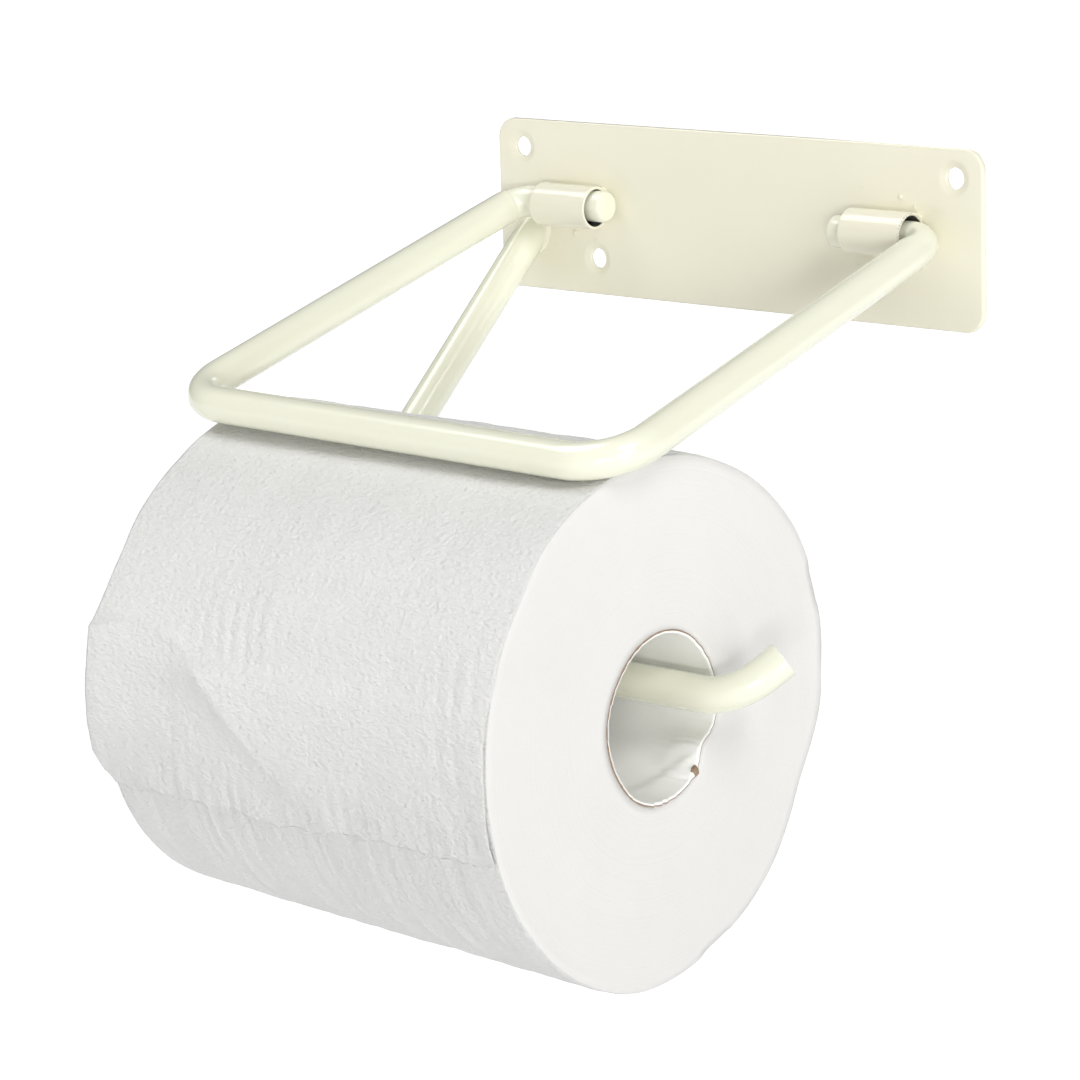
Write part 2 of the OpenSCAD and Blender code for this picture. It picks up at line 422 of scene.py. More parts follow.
def rod_path(corners, bend_radii):
    """Points on the rod's axis and, at each, the pull towards the inside of the bend."""
    points, pulls = [corners[0]], [np.zeros(3)]

    def straight_to(goal, closed):
        run, last = goal - points[-1], points[-1]
        steps = max(2, int(np.linalg.norm(run) / STRAIGHT_STEP))
        for k in range(1, steps + closed):
            points.append(last + run * k / steps)
            pulls.append(np.zeros(3))

    for before, corner, after, bend_r in zip(corners, corners[1:], corners[2:], bend_radii):
        u, w = unit(before - corner), unit(after - corner)
        half = math.acos(np.clip(u @ w, -1, 1)) / 2
        centre = corner + unit(u + w) * bend_r / math.sin(half)
        start = corner + u * bend_r / math.tan(half)
        e1, e2 = unit(start - centre), -u
        straight_to(start, False)
        turn = math.pi - 2 * half
        steps = max(4, int(turn / BEND_STEP))
        for k in range(steps + 1):
            a = turn * k / steps
            arm = e1 * math.cos(a) + e2 * math.sin(a)
            points.append(centre + bend_r * arm)
            pulls.append(arm * math.sin(math.pi * k / steps) ** 0.5)
    straight_to(corners[-1], True)
    return np.array(points), np.array(pulls)


def rounded_end(point, inward, edge, full):
    """Rings that round a rod's cut end: (centre, radius), outermost first."""
    rings = [(point - inward * 0.05, 0.25 * full), (point - inward * 0.02, 0.6 * full),
             (point, full - 1.15 * edge)]
    for k in range(6):
        a = math.pi / 2 * k / 5
        rings.append((point + inward * edge * (1 - math.cos(a)), full - edge * (1 - math.sin(a))))
    return rings


def bent_rod(name, corners, bend_radii, edge_start, edge_end, materials, end_r=ROD_R,
             cut_y=None):
    """A rod bent at the corners, its two ends rounded by edge_start and edge_end. Its first and
    last straights may be thinner, with radius end_r. cut_y cuts the first one off along the wall.
    """
    points, pulls = rod_path([np.array(c, float) for c in corners], bend_radii)
    ahead, back = unit(points[1] - points[0]), unit(points[-2] - points[-1])
    start = rounded_end(points[0], ahead, edge_start, end_r)
    end = rounded_end(points[-1], back, edge_end, end_r)[::-1]
    inner = slice(1, -1)
    centres = np.array([c for c, _ in start] + list(points[inner]) + [c for c, _ in end])
    along = np.minimum((points - points[0]) @ ahead, (points - points[-1]) @ back)
    reach = np.linalg.norm(np.array(corners[1], float) - points[0]) - bend_radii[0]
    full = smooth_step(reach + NECK_FROM, reach + NECK_TO, along)
    shape = end_r + (ROD_R - end_r) * full
    near = np.minimum(np.linalg.norm(points - points[0], axis=1),
                      np.linalg.norm(points - points[-1], axis=1))
    shape = np.where(near < reach + NECK_PAST, shape, ROD_R)
    radii = np.array([r for _, r in start] + list(shape[inner]) + [r for _, r in end])
    pulls = np.concatenate([np.zeros((len(start), 3)), pulls[inner], np.zeros((len(end), 3))])
    forward = np.gradient(points, axis=0)
    forward = np.concatenate([[ahead] * len(start), forward[inner], [-back] * len(end)])
    side = unit(np.cross(forward[0], [0.3, 0.2, 0.9]))
    angle = np.arange(ROD_SIDES) * 2 * math.pi / ROD_SIDES
    rings = []
    for c, r, pull, f in zip(centres, radii, pulls, forward):
        f = unit(f)
        side = unit(side - f * (side @ f))
        up = np.cross(f, side)
        ring = r * (np.outer(np.cos(angle), side) + np.outer(np.sin(angle), up))
        ring -= BEND_FLATTEN * np.outer(ring @ pull, pull)
        rings.append(c + ring)
    rings = np.array(rings)
    if cut_y is not None:
        over = np.maximum(rings[..., 1:2] - cut_y, 0)
        rings = rings + over / abs(ahead[1]) * ahead
    rod = add_mesh(name, *capped_tube(rings), materials)
    if cut_y is not None:
        merge_doubles(rod)
    return rod


# the bail: its arms are given by length and drop
PIN_R = 3.7
ARM_X_BACK = 60.0
ARM_X_FRONT = 61.4
LEFT_ARM = 116.7, math.radians(14.4)
RIGHT_ARM = 118.3, math.radians(14.8)
PIN_BEND_R = 6.0
FRONT_BEND_R = 12.0
PIN_END_LEFT = 32.3
PIN_END_RIGHT = 33.4
PIN_CHAMFERS = 1.1, 0.9
# the support rod: its elbow, its turned-up tip, and its foot on the plate
ELBOW_R = 10.0
TIP_BEND_R = 14.0
TIP_TURN = math.radians(60)
TIP_START_X = 58.4
TIP_STRAIGHT = 5.5
BRACE_Z = -5.8
FOOT_SINK = 0.6
FOOT_SPARE = 4.0
ARM_CHAMFERS = 0.3, 0.22

plate_low, plate_high = box_mm("wall_plate")
PLATE_FRONT = plate_low[1]
PLATE_W, _, PLATE_H = plate_high - plate_low


def front_corner(x, length, drop):
    """Where an arm of the bail meets its front bar, at rest."""
    return x, HINGE[1] - length * math.cos(drop), HINGE[2] - length * math.sin(drop)


# the pins lie loose in their tubes: up and back in the left one, down in the right one
LEFT_PIN = HINGE[1] + 0.30, HINGE[2] + 0.38
RIGHT_PIN = HINGE[1] + 0.10, HINGE[2] - 0.50
bail = bent_rod(
    "bail_rod",
    [(-PIN_END_LEFT, *LEFT_PIN), (-ARM_X_BACK, *LEFT_PIN),
     front_corner(-ARM_X_FRONT, *LEFT_ARM), front_corner(ARM_X_FRONT, *RIGHT_ARM),
     (ARM_X_BACK, *RIGHT_PIN), (PIN_END_RIGHT, *RIGHT_PIN)],
    [PIN_BEND_R, FRONT_BEND_R, FRONT_BEND_R, PIN_BEND_R], *PIN_CHAMFERS, [rod_paint_painted_light], PIN_R)
finished(bail, "bail", "cream_paint", "bail")

elbow = box_mm("support_arm")[0] + ROD_R
foot = np.array([elbow[0], PLATE_FRONT, BRACE_Z])
brace_dir = unit(foot - elbow)
tip_bend = TIP_BEND_R * math.tan(TIP_TURN / 2)
tip_corner = np.array([TIP_START_X + tip_bend, *elbow[1:]])
tip_dir = np.array([math.cos(TIP_TURN), 0, 0]) + math.sin(TIP_TURN) * brace_dir
tip_end = tip_corner + (tip_bend + TIP_STRAIGHT) * tip_dir
arm = bent_rod("support_rod", [foot + FOOT_SPARE * brace_dir, elbow, tip_corner, tip_end],
               [ELBOW_R, TIP_BEND_R], *ARM_CHAMFERS, [rod_paint_painted_light],
               cut_y=PLATE_FRONT + FOOT_SINK)
finished(arm, "wall_frame", "cream_paint", "support_arm")


# ---- wall plate --------------------------------------------------------------------------

SCREWS = [m for m in frame["record"]["mounts"] if m["kind"] == "bolt_pattern"]
CORNER_R = 5.0
EDGE_ROUND = 0.55
BACK_ROUND = 0.3
HOLE_ROUND = 0.2
UNEVEN = 0.035
ARC_STEPS = 14
EDGE_STEP = 2.0
GRID_STEP = 1.5
RING_STEPS = 48
HOLE_R = SCREWS[0]["dims"]["hole_r_mm"]
DISH_R = 4.3
DISH_DEPTH = 0.45
HOLES = [(s * m["dims"]["spacing_x_mm"] / 2, m["pos_m"][2] / MM) for m in SCREWS for s in (-1, 1)]
# weld spatter under the paint: x, z, radius, height
SPATTER = [(-46.6, -6.1, 0.75, 0.55), (48.1, 8.8, 0.6, 0.45), (-40.2, -7.4, 0.4, 0.2),
           (51.9, 6.8, 0.45, 0.25), (-52.0, -8.8, 0.35, 0.2), (38.0, 10.4, 0.35, 0.15),
           (-56.0, 3.0, 0.4, 0.2), (54.0, -6.6, 0.45, 0.25), (36.5, -7.2, 0.35, 0.2)]


def outline(inset):
    """The plate's outline, moved inwards, as a closed loop of (x, z)."""
    half_w, half_h = PLATE_W / 2 - CORNER_R, PLATE_H / 2 - CORNER_R
    r = CORNER_R - inset
    loop = []
    for k, (sx, sz) in enumerate(((1, 1), (-1, 1), (-1, -1), (1, -1))):
        for i in range(ARC_STEPS + 1):
            a = math.pi / 2 * (k + i / ARC_STEPS)
            loop.append((sx * half_w + r * math.cos(a), sz * half_h + r * math.sin(a)))
        nx, nz = ((-1, 1), (-1, -1), (1, -1), (1, 1))[k]
        a = math.pi / 2 * (k + 1)
        goal = (nx * half_w + r * math.cos(a), nz * half_h + r * math.sin(a))
        last = loop[-1]
        steps = int(math.dist(last, goal) / EDGE_STEP)
        for i in range(1, steps):
            t = i / steps
            loop.append((last[0] + (goal[0] - last[0]) * t, last[1] + (goal[1] - last[1]) * t))
    return np.array(loop)


def inside_by(x, z):
    """Distance from the plate's outline, inwards."""
    qx = np.abs(x) - (PLATE_W / 2 - CORNER_R)
    qz = np.abs(z) - (PLATE_H / 2 - CORNER_R)
    far = np.hypot(np.maximum(qx, 0), np.maximum(qz, 0)) + np.minimum(np.maximum(qx, qz), 0)
    return CORNER_R - far


def rounding(s, r):
    """How deep an edge of radius r is rounded off at a distance s from it."""
    q = np.clip(r - s, 0, r)
    return r - np.sqrt(r * r - q * q)


def from_hole(x, z):
    """Distance from the centre of the nearest screw hole."""
    return np.min([np.hypot(x - hx, z - hz) for hx, hz in HOLES], 0)


def front_y(x, z):
    """The plate's front surface: rounded edge, dished holes, spatter and a slight unevenness."""
    deep = rounding(inside_by(x, z), EDGE_ROUND)
    deep = deep + DISH_DEPTH * (1 - smooth_step(HOLE_R - 0.3, DISH_R, from_hole(x, z)))
    away = smooth_step(1.0, 5.0, inside_by(x, z))
    wave = ripple_noise(x + 200, z + 200, 21, 17, 5)
    wave = wave + 0.4 * ripple_noise(x + 200, z + 200, 8, 7, 6)
    deep = deep + UNEVEN * wave * away
    for sx, sz, r, h in SPATTER:
        deep = deep - h * np.exp(-((x - sx) ** 2 + (z - sz) ** 2) / (0.55 * r * r))
    return PLATE_FRONT + deep


def back_y(x, z):
    """The plate's back, flat on the wall but for its rounded edges."""
    return -rounding(inside_by(x, z), BACK_ROUND) - rounding(from_hole(x, z) - HOLE_R, HOLE_ROUND)


def circle(x, z, r, steps=RING_STEPS):
    a = np.arange(steps) * 2 * math.pi / steps
    return np.stack([x + r * np.cos(a), z + r * np.sin(a)], 1)


def wall_plate():
    """Front and back share one flat triangulation, with loops along the edges, rings round the
    holes and the spatter, and a plain grid between them."""
    loops = [outline(EDGE_ROUND * (1 - math.cos(a))) for a in np.linspace(0, math.pi / 2, 8)]
    loops += [outline(1.4), outline(2.4)]
    for hx, hz in HOLES:
        for r in np.concatenate([[HOLE_R, 2.5], np.linspace(2.7, DISH_R + 0.4, 11)]):
            loops.append(circle(hx, hz, r))
    gx, gz = (g.ravel() for g in np.meshgrid(np.arange(-67, 67.1, GRID_STEP),
                                             np.arange(-18, 18.1, GRID_STEP)))
    free = (inside_by(gx, gz) > 3.2) & (from_hole(gx, gz) > DISH_R + 1.1)
    extra = [np.stack([gx[free], gz[free]], 1)]
    for sx, sz, r, _ in SPATTER:
        extra.append([[sx, sz]])
        extra += [circle(sx, sz, k * r, 12) for k in (0.45, 0.9, 1.4)]
    points, edges = [], []
    for loop in loops:
        n = len(points)
        points += loop.tolist()
        edges += [(n + k, n + (k + 1) % len(loop)) for k in range(len(loop))]
    points += np.concatenate(extra).tolist()
    flat, _, triangles, *_ = delaunay_2d_cdt([Vector(p) for p in points], edges, [], 0, 1e-5)
    flat = np.array([tuple(p) for p in flat])
    triangles = np.array([t for t in triangles if len(t) == 3])
    mx, mz = flat[triangles].mean(1).T
    triangles = triangles[(inside_by(mx, mz) > 1e-4) & (from_hole(mx, mz) > HOLE_R - 1e-3)]
    a, b, c = (flat[triangles[:, k]] for k in range(3))
    turn = (b[:, 0] - a[:, 0]) * (c[:, 1] - a[:, 1]) - (b[:, 1] - a[:, 1]) * (c[:, 0] - a[:, 0])
    triangles[turn < 0] = triangles[turn < 0][:, ::-1]
    x, z = flat[:, 0], flat[:, 1]
    verts = [xyz(x, front_y(x, z), z), xyz(x, back_y(x, z), z)]
    # a triangle's points run anticlockwise in x and z, which faces -Y
    faces = triangles.tolist() + (triangles[:, ::-1] + len(flat)).tolist()
    count = 2 * len(flat)
    walls = [(outline(0), False)] + [(circle(hx, hz, HOLE_R), True) for hx, hz in HOLES]
    for loop, is_hole in walls:
        x, z = loop.T
        y0, y1 = front_y(x, z), back_y(x, z)
        verts += [xyz(x, y0 + (y1 - y0) * t, z) for t in (0, 0.5, 1)]
        quads = quad_grid(3, len(loop), wrap_cols=True, first=count)
        count += 3 * len(loop)
        faces += (quads if is_hole else quads[:, ::-1]).tolist()
    plate = add_mesh("plate", np.concatenate(verts), faces, [paint])
    merge_doubles(plate)
    finished(plate, "wall_frame", "cream_paint", "wall_plate")


wall_plate()


# ---- hinge tubes -------------------------------------------------------------------------

TUBE_SIDES = 72
TUBE_WALL = 0.7
TUBE_LIP = 0.22
TUBE_UNEVEN = 0.03
CHIPPED = 0.0005, 0.0001


def tube_rim(end, way, outer, bore):
    """Points (x, radius) round one end of a tube, from the outside to the bore."""
    lip, quarter = TUBE_LIP, np.linspace(0, math.pi / 2, 5)
    outs = [(end + way * (lip - lip * math.sin(t)), outer - lip + lip * math.cos(t))
            for t in quarter]
    ins = [(end + way * (lip - lip * math.cos(t)), bore + lip - lip * math.sin(t))
           for t in quarter]
    return outs + ins


def hinge_tube(name, node, material):
    low, high = box_mm(node)
    outer = (high[2] - low[2]) / 2
    bore = outer - TUBE_WALL
    left, right = tube_rim(low[0], 1, outer, bore), tube_rim(high[0], -1, outer, bore)
    middle = np.linspace(low[0] + 0.6, high[0] - 0.6, 14)
    loop = [(x, outer) for x in middle] + right + [(x, bore) for x in middle[::-1]] + left[::-1]
    angle = np.arange(TUBE_SIDES) * 2 * math.pi / TUBE_SIDES
    px, pr = (np.array(v)[None, :] for v in zip(*loop))
    a = angle[:, None]
    wave = ripple_noise(np.degrees(a) + 0 * px, px + 100 + 0 * a, 30, 5, 11, period=12)
    r = pr + TUBE_UNEVEN * wave * (pr > bore + 0.3)
    rows = xyz(px, HINGE[1] - r * np.cos(a), HINGE[2] - r * np.sin(a))
    verts, quads, column = closed_grid(rows)
    bore_start = len(middle) + len(right) - 1
    in_bore = (column >= bore_start) & (column < bore_start + len(middle) + 1)
    # the bore takes the near-black steel, which paints in the shade deep inside the tube as well
    # as its bare metal
    obj = add_mesh(name, verts, quads, [material, bare], np.where(in_bore, 1, 0))
    finished(obj, "wall_frame", "cream_paint", node)


right_end = box_mm("right_hinge_tube")[1][0] * MM
hinge_tube("left_tube", "left_hinge_tube", paint)
# the bail's arm has chipped the paint off the right tube's end
hinge_tube("right_tube", "right_hinge_tube",
           cream_paint("cream_paint_chipped", CREAM, CREAM_WARM, right_end - CHIPPED[0],
                       right_end - CHIPPED[1]))


# ---- welds -------------------------------------------------------------------------------

WELD_RIPPLE = 1.35
BEAD_STEPS = 120
BEAD_ACROSS = 13
ARM_BEAD_STEPS = 160
ARM_BEAD_ACROSS = 9


def bead_rows(section, core, t, across):
    """A weld bead along t: section(t, s) is its surface from one toe to the other, s from 0 to
    1, and core(t) is a line below it."""
    tt, ss = np.meshgrid(t, np.linspace(0, 1, across), indexing="ij")
    return np.concatenate([section(tt, ss), core(t)[:, None, :]], 1)


def tube_bead(start, end, tube, rise, size, seed):
    """A bead along a hinge tube, below it (rise -1) or above it (rise 1)."""
    low, high = box_mm(tube)
    outer = (high[2] - low[2]) / 2

    def section(t, s):
        x = start + (end - start) * t
        swell = np.clip(4 * t * (1 - t) * 3.2, 0, 1) ** 0.5 * size
        beat = np.abs(np.sin(math.pi * x / WELD_RIPPLE)) ** 0.7
        wander = 0.25 * line_noise(x + 100, 2.6, seed)
        toe_angle = np.radians(62 + 40 * wander - 14 * swell)
        tube_toe = xyz(x, HINGE[1] + outer * np.cos(toe_angle) * 0.97,
                       HINGE[2] + rise * outer * np.sin(toe_angle) * 0.97)
        drop = 3.4 + 1.5 * swell + wander
        plate_toe = xyz(x, PLATE_FRONT + 0.15, HINGE[2] + rise * drop)
        mixed = tube_toe * (1 - s[..., None]) + plate_toe * s[..., None]
        bulge = (0.35 + 0.16 * beat + 0.1 * wander) * swell * np.sin(math.pi * s)
        return mixed + bulge[..., None] * np.array([0, -0.62, 0.78 * rise])

    def core(t):
        x = start + (end - start) * t
        return xyz(x, PLATE_FRONT + 0.3, HINGE[2] + rise * 1.2)

    return capped_tube(bead_rows(section, core, np.linspace(0, 1, BEAD_STEPS), BEAD_ACROSS))


def tube_weld(name, node, tube, seed):
    """A bead along the whole of a tube below it, and a smaller one above its right half."""
    low, high = box_mm(node)
    below = tube_bead(low[0], high[0], tube, -1, 1.0, seed)
    above = tube_bead((low[0] + high[0]) / 2 - 2.5, high[0] + 0.8, tube, 1, 0.55, seed + 5)
    verts = np.concatenate([below[0], above[0]])
    faces = below[1] + [[k + len(below[0]) for k in face] for face in above[1]]
    finished(add_mesh(name, verts, faces, [paint]), "wall_frame", "cream_paint", node)


tube_weld("left_weld", "left_tube_weld", "left_hinge_tube", 21)
tube_weld("right_weld", "right_tube_weld", "right_hinge_tube", 22)


def arm_weld(name, node):
    """The bead right round the support rod's foot."""
    side, rise = np.array([1.0, 0, 0]), np.array([0, 0, 1.0])
    # the rod meets the plate at a slant, so its foot is taller than it is wide
    stretch = 1 / abs(brace_dir[1])

    def ring(a, tall):
        return np.cos(a)[..., None] * side + np.sin(a)[..., None] * rise * tall

    def section(t, s):
        a = 2 * math.pi * t
        beat = np.abs(np.sin(9.5 * a)) ** 0.8
        wander = line_noise(t * 24, 2, 31, period=12)
        leg = 1.0 + 0.2 * wander + 0.1 * beat
        leg = leg * (1 - 0.35 * bump_at(a, math.pi / 2, 0.7))
        out = ring(a, 1)
        base = foot + ROD_R * ring(a, stretch)
        toe = base + leg[..., None] * out + np.array([0, 0.15, 0])
        top = base - leg[..., None] * 1.25 * brace_dir - 0.12 * out
        mixed = top * (1 - s[..., None]) + toe * s[..., None]
        bulge = (0.16 + 0.12 * beat) * np.sin(math.pi * s)
        return mixed + bulge[..., None] * (out * 0.7 - np.array([0, 0.7, 0]))

    def core(t):
        return foot + (ROD_R - 0.5) * ring(2 * math.pi * t, stretch) + np.array([0, 0.3, 0])

    t = np.arange(ARM_BEAD_STEPS) / ARM_BEAD_STEPS
    verts, quads, _ = closed_grid(bead_rows(section, core, t, ARM_BEAD_ACROSS))
    finished(add_mesh(name, verts, quads, [paint]), "wall_frame", "cream_paint", node)


arm_weld("brace_weld", "arm_weld")


# ---- paper roll --------------------------------------------------------------------------

LEFT, RIGHT = (corner[0] for corner in box_mm("paper_roll"))
ROLL_R = 55.5
# the loose last sheet's two ends, by angle
SHEET_UP = -98.0
SHEET_DOWN = 18.0
CORE_R = 18.55
CORE_WALL = 0.75
ROLL_SPOKES = 400
# how the wound paper is out of round, in mm at its left and right end, by angle
OUT_OF_ROUND = {-172: (0.3, 1.7), -148: (0.3, 1.8), -130: (0, 0.4), -114: (0, -0.8), -98: (0, 0),
                -84: (0, 0), -72: (0, -0.1), -60: (-0.6, 0.3), -48: (0.1, 0.5),
                -36: (-0.4, -0.2), -28: (0.2, 0), -10: (-0.2, 0), 15: (0.3, 0.1), 33: (0.7, 0.6),
                48: (0.3, 1.4), 62: (-0.6, 2.0), 84: (-0.5, 3.0), 104: (0, 1.7), 120: (0, 1.4),
                134: (0, 0.8), 152: (0, -1.8), 170: (0.2, 1.4), 179: (0.3, 1.1)}
ROUND_SPREAD = 5.0


def near_angle(phi, centre):
    """Degrees from centre, between -180 and 180."""
    return (phi - centre + 180) % 360 - 180


def bell_at(phi, centre, width):
    """A bell of height 1 round the roll."""
    return bump_at(near_angle(phi, centre), 0, width)


def end_profile(end):
    """Smoothed offsets of one end of the roll at every degree from -180."""
    angles = sorted(OUT_OF_ROUND)
    degrees = np.arange(-180, 180)
    raw = np.interp(degrees, angles, [OUT_OF_ROUND[a][end] for a in angles], period=360)
    near = near_angle(degrees[:, None], degrees[None, :])
    weight = np.exp(-((near / ROUND_SPREAD) ** 2))
    return (weight @ raw) / weight.sum(1)


PROFILES = [end_profile(end) for end in (0, 1)]
# the bar's two corners seen from the roll's axis: their angle, and how near the bar comes to it
BAR_CORNERS = [np.array(front_corner(-ARM_X_FRONT, *LEFT_ARM)) - AXIS,
               np.array(front_corner(ARM_X_FRONT, *RIGHT_ARM)) - AXIS]
BAR_ANGLE = [-math.degrees(math.atan2(c[2], -c[1])) for c in BAR_CORNERS]
BAR_REACH = [math.hypot(c[1], c[2]) - ROD_R for c in BAR_CORNERS]
# the marks that it presses into the roll: the room left below the bar, how far it leans back,
# each mark's flat half width, how fast its sides rise, and how soft its edges are
BAR_SPARE = 0.36
BAR_LEAN = 0.8
BAR_FLAT = 2.4
BAR_CURVE = 0.055
MARK_SOFT = 0.14
MARKED_TURNS = 90, 180


def out_of_round(phi, share):
    """share goes from 0 at the roll's left end to 1 at its right end."""
    turn = near_angle(phi, 0)
    left, right = (np.interp(turn, np.arange(-180, 180), p, period=360) for p in PROFILES)
    return left * (1 - share) + right * share


def roll_radius(x, phi):
    """The wound paper's outside: out of round, with wrinkles that run with the winding."""
    r = ROLL_R + out_of_round(phi, (x - LEFT) / (RIGHT - LEFT))
    turn = phi % 360
    r = r + 0.22 * ripple_noise(turn, x + 100, 30, 26, 41, period=12)
    slant = x + 0.06 * near_angle(phi, 40)
    fine = ripple_noise(turn, slant + 100, 24, 2.3, 42, period=15)
    finer = ripple_noise(turn, slant + 100, 15, 1.1, 43, period=24)
    # narrow grooves along the winding, deepest low down in front
    groove = ripple_noise(turn, slant + 100, 30, 3.2, 44, period=12)
    low_front = 0.35 + 0.65 * bell_at(phi, 48, 42)
    wrinkles = 0.16 * fine + 0.10 * finer - 0.28 * low_front * np.exp(-(groove / 0.18) ** 2)
    # pressed smooth under the loose sheet
    from_middle = near_angle(phi, (SHEET_UP + SHEET_DOWN) / 2)
    half = (SHEET_DOWN - SHEET_UP) / 2
    covered = 1 - smooth_step(half - 14, half - 4, np.abs(from_middle))
    r = r + wrinkles * (1 - 0.9 * covered)
    edge = np.minimum(x - LEFT, RIGHT - x)
    r = r - 0.55 * np.exp(-np.maximum(edge, 0) / 0.7)
    # the bar has pressed the paper where it rests after a quarter or a half turn
    share = (x + ARM_X_FRONT) / (2 * ARM_X_FRONT)
    for turned in MARKED_TURNS:
        middle = BAR_ANGLE[0] * (1 - share) + BAR_ANGLE[1] * share - BAR_LEAN - turned
        off = np.maximum(np.abs(near_angle(phi, middle)) - BAR_FLAT, 0)
        room = BAR_REACH[0] * (1 - share) + BAR_REACH[1] * share - BAR_SPARE
        limit = room + BAR_CURVE * off ** 2
        over = r - limit
        # a soft minimum, so that the mark has no hard edge
        r = r - 0.5 * (over + np.sqrt(over ** 2 + MARK_SOFT ** 2)) * smooth_step(9, 7, off)
    return r


def core_radius(x, phi):
    """The core's outside, pressed in by handling at the right end."""
    depth = np.exp(-((RIGHT - x) / 13.0) ** 2)
    press = 2.3 * bell_at(phi, 145, 13) + 0.8 * bell_at(phi, -40, 40)
    press = press + 0.8 * bell_at(phi, 25, 32) - 0.5 * bell_at(phi, 178, 15)
    wobble = 0.12 * ripple_noise(phi % 360, x + 100, 20, 40, 51, period=18)
    return CORE_R - press * depth + wobble


def on_roll(x, r, phi):
    """Points in the row frame from x, distance from the roll's axis and angle."""
    a = np.radians(phi)
    return xyz(x, AXIS[1] - r * np.cos(a), AXIS[2] - r * np.sin(a))


def end_bulge(r, phi, seed):
    """How far an end of the roll stands out of its plane."""
    slow = ripple_noise(phi % 360, r, 45, 16, seed, period=8)
    rings = ripple_noise(phi % 360, r, 90, 1.9, seed + 1, period=4)
    return 0.28 * slow + 0.06 * rings


def spokes(count):
    """Angles all round the roll, as a column."""
    return (np.arange(count) * 360 / count)[:, None]


def paper_roll():
    phi = spokes(ROLL_SPOKES)
    ends = np.array([0, 0.12, 0.3, 0.6, 1.1, 1.8])
    along = np.linspace(LEFT + 2.5, RIGHT - 2.5, 138)
    x = np.concatenate([LEFT + ends, along, RIGHT - ends[::-1]])
    side = on_roll(x[None, :], roll_radius(x[None, :], phi), phi)
    share = np.linspace(0, 1, 22)[1:-1][None, :]
    parts = [side]
    for x_end, way, seed in ((RIGHT, 1, 61), (LEFT, -1, 71)):
        at = np.array([[x_end]])
        outer, inner = roll_radius(at, phi), core_radius(at, phi)
        r = outer + (inner - outer) * share
        fade = np.minimum(1, np.minimum(outer - r, r - inner) / 2.5)
        stand = x_end + way * end_bulge(r, phi, seed) * fade
        parts.append(on_roll(stand, r, phi))
    bore_x = np.linspace(RIGHT, LEFT, 24)[None, :]
    bore = on_roll(bore_x, core_radius(bore_x, phi) + 0.02, phi)
    rows = np.concatenate([parts[0], parts[1], bore, parts[2][:, ::-1]], 1)
    verts, quads, column = closed_grid(rows)
    on_side = column < side.shape[1] - 1
    obj = add_mesh("wound_paper", verts, quads, [tissue_taut, face_paper],
                   np.where(on_side, 0, 1))
    finished(obj, "roll", "wound_tissue", "paper_roll")


paper_roll()


# ---- loose last sheet --------------------------------------------------------------------

SHEET_T = 0.16
SHEET_GAP = 0.12
SHEET_ROWS, SHEET_COLS = 196, 186
# where the sheet lies below the bail's bar, in degrees
SHEET_PRESSED_AT, PRESSED_WIDTH = -72.5, 7
FOLD_HEIGHT = 0.75
# a soft ridge: a point on it (x, and length round the roll), and the direction across it
RIDGE_HEIGHT = 2.4
RIDGE_AT = -23.8, -12.9
RIDGE_ACROSS = 0.64, -0.77


def arc_mm(degrees):
    """Length round the roll."""
    return degrees * ROLL_R * math.pi / 180


def crease_at(x):
    """Angle of the fold where the slack of the sheet starts."""
    return -12.6 - 5.6 * smooth_step(-18, -36, x) + 2.4 * smooth_step(-44, -56, x)


